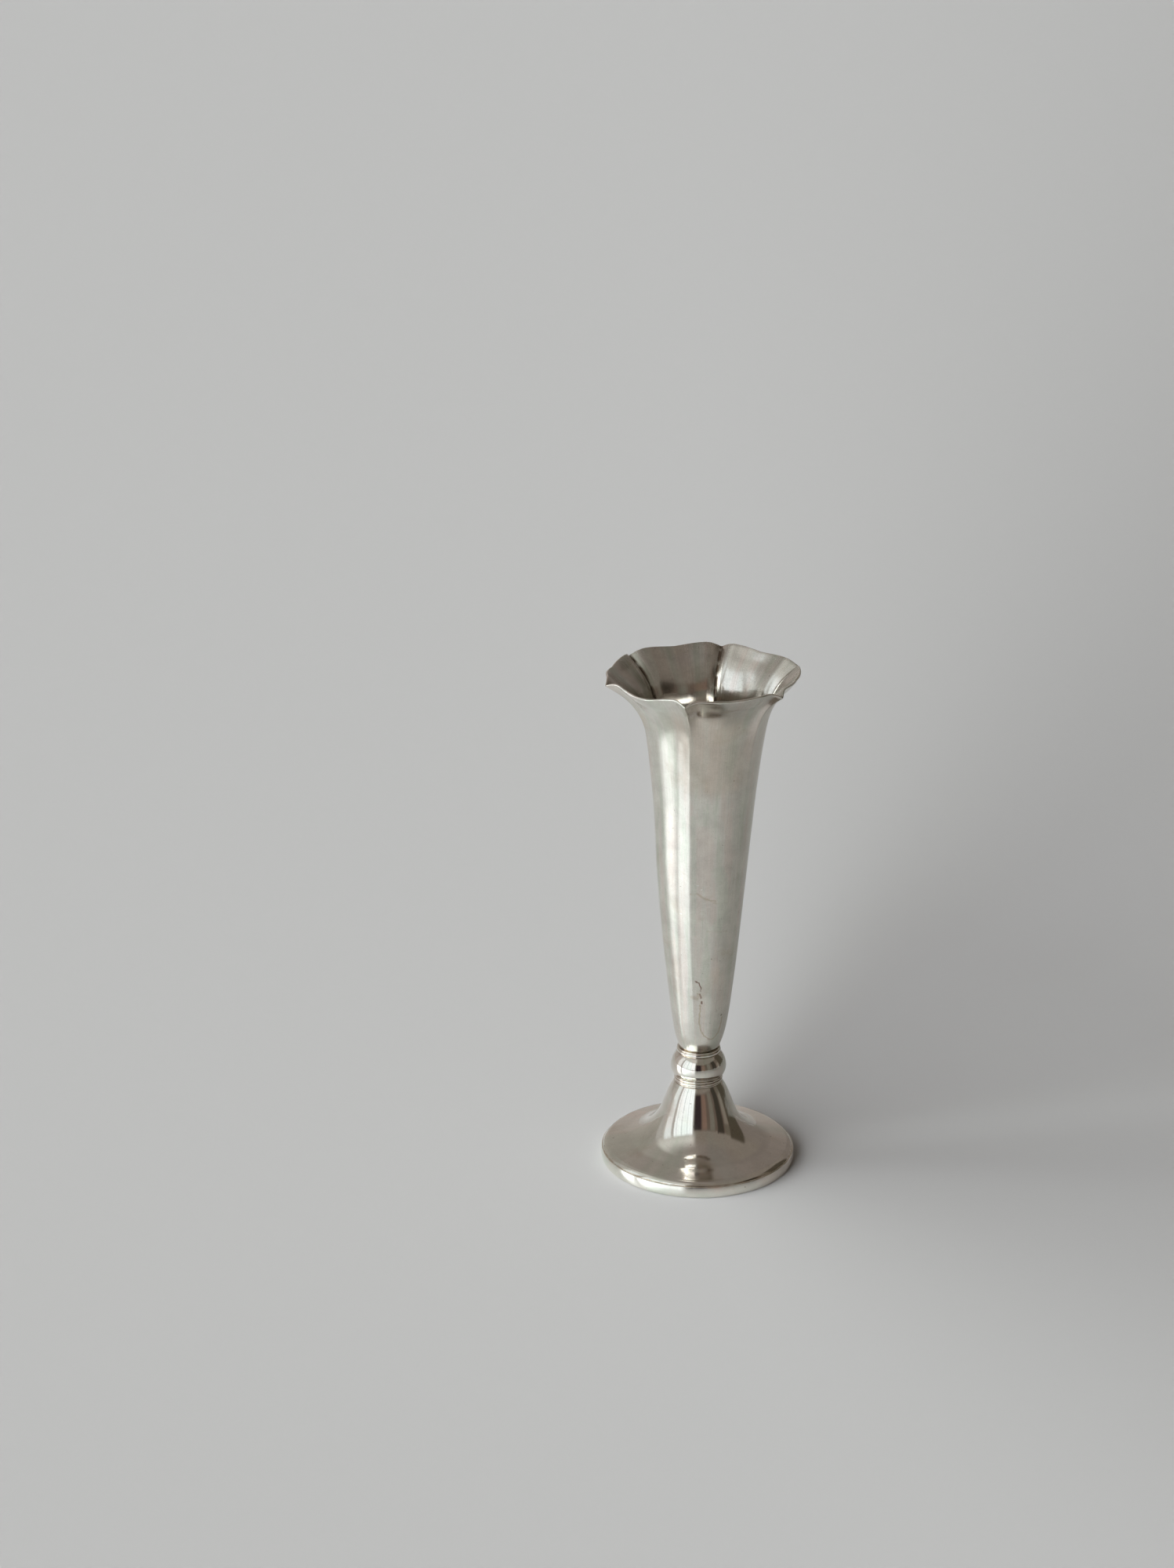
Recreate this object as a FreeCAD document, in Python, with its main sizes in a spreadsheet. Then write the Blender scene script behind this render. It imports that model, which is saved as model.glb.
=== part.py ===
import FreeCAD
import Part
import Sketcher
import math
import os
import re

# Silver trumpet vase: a six-panelled trumpet with a wavy flared lip, a knop between two collars,
# and a bell foot on an upright band. Lengths are millimetres and angles degrees. +Z is up, the
# origin is the middle of the felt underside that stands on the table, and a crease faces -Y.

sizes = {
    # underside and band of the foot
    "felt_proud": 0.15,
    "felt_thickness": 1.2,
    "felt_margin": 0.4,
    "plate_thickness": 0.6,
    "plate_ledge": 0.6,
    "band_radius": 33.75,
    "band_swell": 0.25,
    "band_height": 3.65,
    "band_wall": 2.0,
    # spun foot
    "foot_skin": 0.7,
    "foot_rise": 25.7,
    "neck_radius": 9.0,
    "neck_slope": 69.4,
    "sweep_radius": 19.0,
    "plate_slope": 15.0,
    "roll_radius": 2.0,
    "roll_tuck": 0.3,
    # stem
    "lower_ring_height": 1.4,
    "lower_fillet_height": 0.65,
    "lower_collar_radius": 8.6,
    "knop_height": 7.7,
    "knop_radius": 9.7,
    "knop_seat_radius": 7.7,
    "upper_collar_height": 1.8,
    "collar_step": 0.3,
    "collar_quirk": 0.4,
    # trumpet
    "sheet": 0.8,
    "trumpet_length": 135.2,
    "narrow_radius": 7.5,
    "mouth_radius": 32.5,
    "fold_height": 1.8,
    "lip_rise": 2.1,
    "lobe_dip": 0.6,
    # hidden fixings
    "rod_radius": 2.0,
    "floor_thickness": 1.5,
    "boss_radius": 3.6,
    "boss_depth": 5.0,
    "thread_depth": 4.0,
    "washer_radius": 5.0,
    "washer_thickness": 0.8,
    "nut_across_flats": 7.0,
    "nut_height": 3.2,
    "rod_tail": 1.5,
    "edge_break": 0.2,
    "slip": 0.05,
}

# Sizes and places that follow from those above.
derived = {
    "plate_top": "felt_thickness + plate_thickness",
    "band_top": "felt_proud + band_height",
    "band_bore": "band_radius - band_wall",
    "recess_radius": "band_radius - band_wall + plate_ledge",
    "neck_top": "band_top + foot_rise",
    "lower_ring_base": "neck_top + lower_fillet_height",
    "knop_base": "lower_ring_base + 2 * lower_ring_height",
    "knop_top": "knop_base + knop_height",
    "trumpet_base": "knop_top + upper_collar_height",
    "band_arc_radius": "((band_height / 2 - edge_break) ^ 2 + band_swell ^ 2) / (2 * band_swell)",
    "knop_arc_radius": "((knop_height / 2) ^ 2 + (knop_radius - knop_seat_radius) ^ 2)"
                       " / (2 * (knop_radius - knop_seat_radius))",
    "roll_centre_radius": "band_radius - roll_radius",
    "roll_centre_height": "band_top - sqrt(roll_radius ^ 2 - (roll_radius - roll_tuck) ^ 2)",
    "edge_radius": "roll_centre_radius + roll_radius * sin(plate_slope)",
    "edge_height": "roll_centre_height + roll_radius * cos(plate_slope)",
    "cone_run": "(neck_top - edge_height - (edge_radius - neck_radius) * tan(plate_slope))"
                " / (sin(neck_slope) - tan(plate_slope) * cos(neck_slope))",
    "sweep_run": "sweep_radius * tan((neck_slope - plate_slope) / 2)",
    "corner_radius": "neck_radius + cone_run * cos(neck_slope)",
    "corner_height": "neck_top - cone_run * sin(neck_slope)",
    "sweep_top_radius": "corner_radius - sweep_run * cos(neck_slope)",
    "sweep_top_height": "corner_height + sweep_run * sin(neck_slope)",
    "sweep_foot_radius": "corner_radius + sweep_run * cos(plate_slope)",
    "sweep_foot_height": "corner_height - sweep_run * sin(plate_slope)",
    "washer_base": "neck_top - foot_skin - washer_thickness",
    "nut_base": "washer_base - nut_height",
    "rod_base": "nut_base - rod_tail",
    "boss_base": "trumpet_base - boss_depth",
    "rod_top": "boss_base + thread_depth - slip",
    "floor_radius": "narrow_radius - sheet - slip",
    "nut_corner_radius": "nut_across_flats / sqrt(3)",
}

document = FreeCAD.newDocument("trumpet_vase")
sheet = document.addObject("Spreadsheet::Sheet", "sizes")


def fillSheet():
    entries = [(name, str(value)) for name, value in sizes.items()]
    entries += [(name, "=" + formula) for name, formula in derived.items()]
    for row, (name, content) in enumerate(entries, start=1):
        sheet.set("A%d" % row, name)
        sheet.set("B%d" % row, content)
        sheet.setAlias("B%d" % row, name)
    document.recompute()


def size(name):
    return float(sheet.get(name))


def bound(formula):
    """Writes a formula in sheet names as an expression that an object outside the sheet can use."""
    names = "|".join(sorted(list(sizes) + list(derived), key=len, reverse=True))
    return re.sub(r"\b(%s)\b" % names, r"sizes.\1", formula)


def originPlane(body, role):
    return next(plane for plane in body.Origin.OriginFeatures if plane.Role == role)


def newSketch(body, name, role):
    sketch = body.newObject("Sketcher::SketchObject", name)
    sketch.AttachmentSupport = [(originPlane(body, role), "")]
    sketch.MapMode = "FlatFace"
    return sketch


def pin(sketch, kind, element, corner, formula):
    """Ties one coordinate of a corner, or an arc's radius, to the sheet."""
    value = float(sketch.evalExpression(bound(formula)))
    if kind == "Radius":
        index = sketch.addConstraint(Sketcher.Constraint("Radius", element, abs(value)))
    else:
        index = sketch.addConstraint(Sketcher.Constraint(kind, -1, 1, element, corner, value))
    sketch.setExpression("Constraints[%d]" % index, bound(formula))


def shortArc(start, end, radius, side):
    """The short arc between two places, bulging left (+1) or right (-1) of the way from start to end."""
    chord = end - start
    left = FreeCAD.Vector(-chord.y, chord.x, 0).normalize()
    centre = (start + end) / 2 - left * side * math.sqrt(max(radius ** 2 - (chord.Length / 2) ** 2, 0))
    first, last = (end, start) if side > 0 else (start, end)
    angles = [math.atan2(place.y - centre.y, place.x - centre.x) for place in (first, last)]
    return Part.ArcOfCircle(Part.Circle(centre, FreeCAD.Vector(0, 0, 1), radius), *angles)


def drawOutline(sketch, corners):
    """Closed outline: each corner is (across, up) or (across, up, radius, side) of an arc that reaches it."""
    places = []
    for corner in corners:
        across, up = (float(sketch.evalExpression(bound(formula))) for formula in corner[:2])
        places.append(FreeCAD.Vector(across, up, 0))
    ends = []
    for index, corner in enumerate(corners):
        start, end = places[index - 1], places[index]
        if len(corner) == 2:
            sketch.addGeometry(Part.LineSegment(start, end))
            ends.append((1, 2))
        else:
            radius, side = float(sketch.evalExpression(bound(corner[2]))), corner[3]
            sketch.addGeometry(shortArc(start, end, radius, side))
            ends.append((2, 1) if side > 0 else (1, 2))
    for index, corner in enumerate(corners):
        following = (index + 1) % len(corners)
        sketch.addConstraint(Sketcher.Constraint("Coincident", index, ends[index][1],
                                                 following, ends[following][0]))
        pin(sketch, "DistanceX", index, ends[index][1], corner[0])
        pin(sketch, "DistanceY", index, ends[index][1], corner[1])
        if len(corner) == 4:
            pin(sketch, "Radius", index, 0, corner[2])


def turned(label, corners):
    """A piece turned about the vase's axis from a half outline."""
    body = document.addObject("PartDesign::Body", label)
    body.Label = label
    sketch = newSketch(body, label + "_outline", "XZ_Plane")
    drawOutline(sketch, corners)
    turning = body.newObject("PartDesign::Revolution", label + "_turning")
    turning.Profile = sketch
    turning.ReferenceAxis = (sketch, ["V_Axis"])
    turning.Angle = 360
    return body


def makeBaseFelt():
    body = document.addObject("PartDesign::Body", "base_felt")
    sketch = newSketch(body, "base_felt_outline", "XY_Plane")
    sketch.addGeometry(Part.Circle(FreeCAD.Vector(), FreeCAD.Vector(0, 0, 1), size("recess_radius")))
    sketch.addConstraint(Sketcher.Constraint("Coincident", 0, 3, -1, 1))
    pin(sketch, "Radius", 0, 0, "recess_radius - felt_margin")
    pad = body.newObject("PartDesign::Pad", "base_felt_pad")
    pad.Profile = sketch
    pad.setExpression("Length", bound("felt_thickness"))
    return body


def makeBasePlate():
    return turned("base_plate", [
        ("0", "felt_thickness"),
        ("recess_radius - slip - edge_break", "felt_thickness"),
        ("recess_radius - slip", "felt_thickness + edge_break"),
        ("recess_radius - slip", "plate_top"),
        ("0", "plate_top"),
    ])


def makeFootBand():
    # an upright ring, its face slightly bulging, with a ledge inside for the closing plate
    return turned("foot_band", [
        ("recess_radius", "plate_top"),
        ("recess_radius", "felt_proud"),
        ("band_radius - edge_break", "felt_proud"),
        ("band_radius", "felt_proud + edge_break"),
        ("band_radius", "band_top - edge_break", "band_arc_radius", -1),
        ("band_radius - edge_break", "band_top"),
        ("band_bore", "band_top"),
        ("band_bore", "plate_top"),
    ])


def makeFootShell():
    # the outside runs down the neck, through the sweep, along the plate and over the turned edge;
    # the inside follows it one skin deeper
    return turned("foot_shell", [
        ("rod_radius + slip", "neck_top"),
        ("neck_radius", "neck_top"),
        ("sweep_top_radius", "sweep_top_height"),
        ("sweep_foot_radius", "sweep_foot_height", "sweep_radius", -1),
        ("edge_radius", "edge_height"),
        ("band_radius - roll_tuck", "band_top", "roll_radius", 1),
        ("band_bore", "band_top"),
        ("band_bore", "edge_height + (edge_radius - band_bore) * tan(plate_slope)"
                      " - foot_skin / cos(plate_slope)"),
        ("sweep_foot_radius - foot_skin * sin(plate_slope)",
         "sweep_foot_height - foot_skin * cos(plate_slope)"),
        ("sweep_top_radius - foot_skin * sin(neck_slope)",
         "sweep_top_height - foot_skin * cos(neck_slope)", "sweep_radius + foot_skin", 1),
        ("neck_radius + foot_skin * cos(neck_slope) / sin(neck_slope) - foot_skin / sin(neck_slope)",
         "neck_top - foot_skin"),
        ("rod_radius + slip", "neck_top - foot_skin"),
    ])


def makeFootFilling():
    # poured up to the closing plate, so it fills the foot and leaves the washer, nut and rod free
    depth = "foot_skin + slip"
    return turned("foot_filling", [
        ("0", "plate_top"),
        ("band_bore - slip", "plate_top"),
        ("band_bore - slip", "edge_height + (edge_radius - band_bore + slip) * tan(plate_slope)"
                             " - (%s) / cos(plate_slope)" % depth),
        ("sweep_foot_radius - (%s) * sin(plate_slope)" % depth,
         "sweep_foot_height - (%s) * cos(plate_slope)" % depth),
        ("sweep_top_radius - (%s) * sin(neck_slope)" % depth,
         "sweep_top_height - (%s) * cos(neck_slope)" % depth, "sweep_radius + " + depth, 1),
        ("neck_radius + (%s) * cos(neck_slope) / sin(neck_slope) - (%s) / sin(neck_slope)" % (depth, depth),
         "neck_top - (%s)" % depth),
        ("washer_radius + slip", "neck_top - (%s)" % depth),
        ("washer_radius + slip", "washer_base - slip"),
        ("nut_corner_radius + slip", "washer_base - slip"),
        ("nut_corner_radius + slip", "nut_base - slip"),
        ("rod_radius + slip", "nut_base - slip"),
        ("rod_radius + slip", "rod_base - slip"),
        ("0", "rod_base - slip"),
    ])


def ringArc(halfHeight):
    """Radius of the arc of a ring this half as high, whose face stands out by the quirk's depth."""
    return "((%s) ^ 2 + collar_quirk ^ 2) / (2 * collar_quirk)" % halfHeight


def makeLowerCollar():
    # two equal rings under the knop and a finer one that runs onto the neck
    rim = "lower_collar_radius - collar_quirk"
    return turned("lower_collar", [
        ("rod_radius + slip", "knop_base"),
        ("rod_radius + slip", "neck_top"),
        (rim, "neck_top"),
        (rim, "lower_ring_base", ringArc("lower_fillet_height / 2"), -1),
        (rim, "lower_ring_base + lower_ring_height", ringArc("lower_ring_height / 2"), -1),
        (rim, "knop_base", ringArc("lower_ring_height / 2"), -1),
    ])


def makeKnop():
    return turned("knop", [
        ("boss_radius + slip", "knop_top"),
        ("boss_radius + slip", "knop_base"),
        ("knop_seat_radius", "knop_base"),
        ("knop_seat_radius", "knop_top", "knop_arc_radius", -1),
    ])


def makeUpperCollar():
    # a ring over the knop and a slightly smaller one under the trumpet's end
    arc = ringArc("upper_collar_height / 4")
    return turned("upper_collar", [
        ("boss_radius + slip", "trumpet_base"),
        ("boss_radius + slip", "knop_top"),
        ("knop_seat_radius + collar_step - collar_quirk", "knop_top"),
        ("knop_seat_radius + collar_step - collar_quirk", "knop_top + upper_collar_height / 2", arc, -1),
        ("narrow_radius + collar_step - collar_quirk", "knop_top + upper_collar_height / 2"),
        ("narrow_radius + collar_step - collar_quirk", "trumpet_base", arc, -1),
    ])


def makeVesselFloor():
    # a plug that closes the trumpet, with a tapped boss reaching down into the knop
    return turned("vessel_floor", [
        ("0", "trumpet_base + floor_thickness"),
        ("0", "rod_top + slip"),
        ("rod_radius + slip", "rod_top + slip"),
        ("rod_radius + slip", "boss_base"),
        ("boss_radius", "boss_base"),
        ("boss_radius", "trumpet_base"),
        ("floor_radius", "trumpet_base"),
        ("floor_radius", "trumpet_base + floor_thickness"),
    ])


def makeStemRod():
    return turned("stem_rod", [
        ("0", "rod_base"),
        ("rod_radius - edge_break", "rod_base"),
        ("rod_radius", "rod_base + edge_break"),
        ("rod_radius", "rod_top - edge_break"),
        ("rod_radius - edge_break", "rod_top"),
        ("0", "rod_top"),
    ])


def makeRodWasher():
    return turned("rod_washer", [
        ("rod_radius + slip", "washer_base"),
        ("washer_radius", "washer_base"),
        ("washer_radius", "neck_top - foot_skin"),
        ("rod_radius + slip", "neck_top - foot_skin"),
    ])


def makeRodNut():
    # a hexagon bored for the rod, its outer corners turned off at the lower face
    body = document.addObject("PartDesign::Body", "rod_nut")
    sketch = newSketch(body, "rod_nut_outline", "XY_Plane")
    corners = [FreeCAD.Vector(math.cos(math.radians(60 * turn)), math.sin(math.radians(60 * turn)), 0)
               * size("nut_corner_radius") for turn in range(6)]
    for turn in range(6):
        sketch.addGeometry(Part.LineSegment(corners[turn], corners[(turn + 1) % 6]))
    for turn in range(6):
        following = (turn + 1) % 6
        sketch.addConstraint(Sketcher.Constraint("Coincident", turn, 2, following, 1))
        pin(sketch, "DistanceX", turn, 1, "nut_corner_radius * cos(%d)" % (60 * turn))
        pin(sketch, "DistanceY", turn, 1, "nut_corner_radius * sin(%d)" % (60 * turn))
    sketch.addGeometry(Part.Circle(FreeCAD.Vector(), FreeCAD.Vector(0, 0, 1), size("rod_radius")))
    sketch.addConstraint(Sketcher.Constraint("Coincident", 6, 3, -1, 1))
    pin(sketch, "Radius", 6, 0, "rod_radius + slip")
    sketch.setExpression("AttachmentOffset.Base.z", bound("nut_base"))
    pad = body.newObject("PartDesign::Pad", "rod_nut_pad")
    pad.Profile = sketch
    pad.setExpression("Length", bound("nut_height"))
    return body


# Stations of the trumpet from the narrow end to the tips of the lip, as shares: of the length,
# of the way from narrow to mouth radius, of the way from six flats to a round section, and of
# the lip's folds and waves.
trumpetShares = [
    (0.000, 0.000, 1.00, 0.00),
    (0.026, 0.051, 1.00, 0.00),
    (0.058, 0.091, 0.85, 0.02),
    (0.120, 0.142, 0.70, 0.05),
    (0.220, 0.211, 0.60, 0.07),
    (0.350, 0.286, 0.58, 0.09),
    (0.500, 0.360, 0.56, 0.11),
    (0.650, 0.421, 0.56, 0.14),
    (0.770, 0.486, 0.58, 0.19),
    (0.860, 0.545, 0.61, 0.27),
    (0.915, 0.610, 0.67, 0.40),
    (0.945, 0.690, 0.80, 0.55),
    (0.972, 0.807, 0.96, 0.76),
    (1.000, 1.000, 1.15, 1.00),
]
panelCount = 6
foldReachShare = 0.3         # of half a panel: how far a crease's fold spreads
panelPointShares = (0.0, 0.1, 0.2, 0.32, 0.6, 1.0)


def panelRadius(cornerRadius, roundShare, turn):
    """Radius of one panel's arc at an angle from its middle; share 0 is a flat, 1 a round."""
    flat = cornerRadius * math.cos(math.pi / panelCount)
    half = cornerRadius * math.sin(math.pi / panelCount)
    bulge = (cornerRadius - flat) * roundShare
    arc = (half ** 2 + bulge ** 2) / (2 * bulge)
    centre = flat + bulge - arc
    return centre * math.cos(turn) + math.sqrt(arc ** 2 - (centre * math.sin(turn)) ** 2)


def outsidePoint(station, share):
    """Radius and height of the outer skin at a share of the half panel away from the crease."""
    lengthShare, radiusShare, roundShare, lipShare = station
    corner = size("narrow_radius") + radiusShare * (size("mouth_radius") - size("narrow_radius"))
    turn = (1 - share) * math.pi / panelCount
    fold = max(0.0, 1 - share / foldReachShare) ** 2
    dip = math.sin(max(0.0, share - foldReachShare) / (1 - foldReachShare) * math.pi / 2) ** 2
    radius = panelRadius(corner, roundShare, turn) + size("fold_height") * lipShare * fold
    wave = size("lip_rise") * (1 - fold) - size("lobe_dip") * dip
    height = size("trumpet_base") + lengthShare * size("trumpet_length") + wave * lipShare
    return radius, height


def skinPoint(index, share, depth):
    """A point this deep under the outer skin; the narrow end is cut off square."""
    radius, height = outsidePoint(trumpetShares[index], share)
    if index == 0:
        return radius - depth, height
    below = outsidePoint(trumpetShares[index - 1], share)
    above = outsidePoint(trumpetShares[min(index + 1, len(trumpetShares) - 1)], share)
    across, up = above[0] - below[0], above[1] - below[1]
    run = math.hypot(across, up)
    return radius - depth * up / run, height + depth * across / run


def skinWire(index, depth):
    """One closed section: a curve for each panel, meeting at the creases."""
    edges = []
    halfTurn = math.pi / panelCount
    for panel in range(panelCount):
        points = []
        for share in panelPointShares + panelPointShares[-2::-1]:
            side = -1 if len(points) < len(panelPointShares) else 1
            turn = (2 * panel + 1) * halfTurn + side * (1 - share) * halfTurn
            radius, height = skinPoint(index, share, depth)
            points.append(FreeCAD.Vector(radius * math.sin(turn), -radius * math.cos(turn), height))
        curve = Part.BSplineCurve()
        curve.interpolate(points)
        edges.append(curve.toShape())
    return Part.Wire(edges)


def makeTrumpetBody():
    stations = range(len(trumpetShares))
    outside = [skinWire(index, 0) for index in stations]
    inside = [skinWire(index, size("sheet")) for index in stations]
    skins = [Part.makeLoft(wires, False, False) for wires in (outside, inside)]
    rims = [Part.makeRuledSurface(outer, inner) for end in (0, -1)
            for outer, inner in zip(outside[end].Edges, inside[end].Edges)]
    faces = [face for skin in skins + rims for face in skin.Faces]
    shell = Part.makeCompound(faces)
    shell.sewShape()
    solid = Part.Solid(shell.Shells[0])
    if solid.Volume < 0:
        solid.reverse()
    feature = document.addObject("Part::Feature", "trumpet_body")
    feature.Shape = solid
    feature.Placement = FreeCAD.Placement()
    return feature


fillSheet()
pieces = [
    makeTrumpetBody(), makeVesselFloor(), makeUpperCollar(), makeKnop(), makeLowerCollar(),
    makeFootShell(), makeFootBand(), makeFootFilling(), makeBasePlate(), makeBaseFelt(),
    makeStemRod(), makeRodWasher(), makeRodNut(),
]
document.recompute()

for item in document.Objects:
    if "Invalid" in item.State or "Error" in item.State:
        raise RuntimeError("%s did not build" % item.Name)
for piece in pieces:
    if piece.Shape.isNull() or not piece.Shape.isValid() or len(piece.Shape.Solids) != 1:
        raise RuntimeError("%s is not one good solid" % piece.Label)

os.makedirs("parts", exist_ok=True)
for piece in pieces:
    piece.Shape.exportStep("parts/%s.step" % piece.Label)
    box = piece.Shape.BoundBox
    print("%s: volume %.1f, from z %.2f to %.2f, widest %.2f"
          % (piece.Label, piece.Shape.Volume, box.ZMin, box.ZMax, max(box.XLength, box.YLength)))
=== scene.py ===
# Silver trumpet vase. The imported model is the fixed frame, the turned and raised silver is remade
# here as smooth skins, and every piece gets its finish. Sizes are millimetres until a mesh is made.
# An azimuth is seen from the vase: 0 is towards the camera, less is to the picture's left.

import cmath
import math
import bpy
import numpy as np
from mathutils import Euler, Matrix, Vector, noise


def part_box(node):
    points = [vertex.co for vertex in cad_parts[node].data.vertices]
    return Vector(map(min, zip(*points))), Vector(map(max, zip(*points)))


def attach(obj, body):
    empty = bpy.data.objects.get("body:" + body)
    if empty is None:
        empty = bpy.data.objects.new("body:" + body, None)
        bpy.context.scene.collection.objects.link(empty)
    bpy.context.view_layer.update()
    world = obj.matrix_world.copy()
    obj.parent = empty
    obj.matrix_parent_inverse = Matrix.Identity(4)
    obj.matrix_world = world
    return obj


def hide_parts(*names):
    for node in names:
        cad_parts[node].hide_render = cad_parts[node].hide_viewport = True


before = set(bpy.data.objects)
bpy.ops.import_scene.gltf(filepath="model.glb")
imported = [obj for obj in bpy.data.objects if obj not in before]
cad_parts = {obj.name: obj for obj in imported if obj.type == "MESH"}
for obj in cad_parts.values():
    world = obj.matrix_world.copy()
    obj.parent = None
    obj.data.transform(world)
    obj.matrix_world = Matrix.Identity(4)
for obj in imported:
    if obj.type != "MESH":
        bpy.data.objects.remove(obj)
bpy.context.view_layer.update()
mm = 0.001  # one millimetre in metres
print("frame loaded,", len(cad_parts), "nodes")

camera = {
    "place": (191.3, -1070.5, 543.8),
    "tilt": 69.6,            # degrees up from straight down
    "turn": 12.197,
    "roll": 0.1,
    "focalPixels": 4358.8,   # in the photograph's own pixels
    "pictureHeight": 2000,
    "filmHeight": 36.0,
}


def makeCamera():
    lens = bpy.data.cameras.new("photographCamera")
    lens.sensor_fit = "AUTO"
    lens.sensor_width = camera["filmHeight"]
    lens.lens = camera["focalPixels"] / camera["pictureHeight"] * camera["filmHeight"]
    lens.clip_start = 0.01
    lens.clip_end = 200.0
    holder = bpy.data.objects.new("photographCamera", lens)
    bpy.context.scene.collection.objects.link(holder)
    holder.location = Vector(camera["place"]) * mm
    aim = Euler([math.radians(camera["tilt"]), 0, math.radians(camera["turn"])], "XYZ").to_matrix()
    roll = Matrix.Rotation(math.radians(camera["roll"]), 3, "Z")
    holder.rotation_euler = (aim @ roll).to_euler()
    bpy.context.scene.camera = holder


# Shader graphs. A Wire is one output socket, and arithmetic on it adds Math nodes.


class Wire:
    def __init__(self, graph, socket):
        self.graph = graph
        self.socket = socket

    def math(self, operation, *values, **settings):
        settings["operation"] = operation
        return self.graph.add("ShaderNodeMath", settings, values)

    def __add__(self, other):
        return self.math("ADD", self, other)

    def __sub__(self, other):
        return self.math("SUBTRACT", self, other)

    def __rsub__(self, other):
        return self.math("SUBTRACT", other, self)

    def __mul__(self, other):
        return self.math("MULTIPLY", self, other)

    __radd__ = __add__
    __rmul__ = __mul__

    def held(self):
        # kept between 0 and 1
        return self.math("ADD", self, 0.0, use_clamp=True)


class Graph:
    def __init__(self, owner):
        owner.use_nodes = True
        self.tree = owner.node_tree
        self.tree.nodes.clear()

    def add(self, kind, settings=None, values=(), output=0):
        node = self.tree.nodes.new(kind)
        for name, setting in (settings or {}).items():
            setattr(node, name, setting)
        pairs = values.items() if isinstance(values, dict) else enumerate(values)
        for name, value in pairs:
            socket = node.inputs[name]
            if isinstance(value, Wire):
                self.tree.links.new(value.socket, socket)
            else:
                socket.default_value = value
        return Wire(self, node.outputs[output]) if node.outputs else node

    def step(self, value, low, high):
        # 0 below low, 1 above high, smooth between; low may be the greater for a falling step
        settings = {"interpolation_type": "SMOOTHSTEP"}
        return self.add("ShaderNodeMapRange", settings, {"Value": value, "From Min": low, "From Max": high})

    def band(self, value, low, high, soft):
        rise = self.step(value, low - soft, low + soft)
        return rise * self.step(value, high + soft, high - soft)

    def blend(self, share, first, second):
        values = {0: share, 6: colour(first), 7: colour(second)}
        return self.add("ShaderNodeMix", {"data_type": "RGBA"}, values, 2)

    def vector(self, operation, *values, output=0):
        return self.add("ShaderNodeVectorMath", {"operation": operation}, values, output)

    def scaled(self, vector, factor):
        return self.add("ShaderNodeVectorMath", {"operation": "SCALE"}, {0: vector, "Scale": factor})

    def noise(self, place, scale, detail=2.0, roughness=0.5, distortion=0.0, output=0):
        values = {"Vector": place, "Scale": scale, "Detail": detail, "Roughness": roughness,
                  "Distortion": distortion}
        return self.add("ShaderNodeTexNoise", {}, values, output)

    def turnedAndScaled(self, place, turn, scale):
        return self.add("ShaderNodeMapping", {}, {"Vector": place, "Rotation": turn, "Scale": scale})

    def split(self, vector):
        node = self.add("ShaderNodeSeparateXYZ", {}, [vector])
        outputs = node.socket.node.outputs
        return [Wire(self, outputs[index]) for index in range(3)]

    def join(self, *parts):
        return self.add("ShaderNodeCombineXYZ", {}, parts)

    def place(self):
        # where a point of the vase is, in millimetres
        held = self.add("ShaderNodeTexCoord", {}, (), "Object")
        return self.vector("MULTIPLY", held, (1 / mm, 1 / mm, 1 / mm))

    def bump(self, height, strength, distance, normal=None):
        values = {"Height": height, "Strength": strength, "Distance": distance * mm}
        if normal:
            values["Normal"] = normal
        return self.add("ShaderNodeBump", {}, values)


def colour(value):
    return value if isinstance(value, Wire) or len(value) == 4 else (*value, 1.0)


def newMaterial(name, fixed):
    # a material whose constants stand on the shader's own sockets
    material = bpy.data.materials.new(name)
    graph = Graph(material)
    shader = graph.add("ShaderNodeBsdfPrincipled", {}, fixed)
    graph.output = graph.add("ShaderNodeOutputMaterial", {}, {"Surface": shader})
    graph.shader = shader.socket.node
    return material, graph


shaderInputs = {"baseColour": "Base Color", "roughness": "Roughness", "normal": "Normal"}


def feed(graph, **wires):
    for name, wire in wires.items():
        graph.tree.links.new(wire.socket, graph.shader.inputs[shaderInputs[name]])


# The room that the silver mirrors: patches of light and shade round the vase, painted in turn.
# Each is (azimuth from, to, elevation from, to, colour), in degrees, and its own softness if any.

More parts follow.
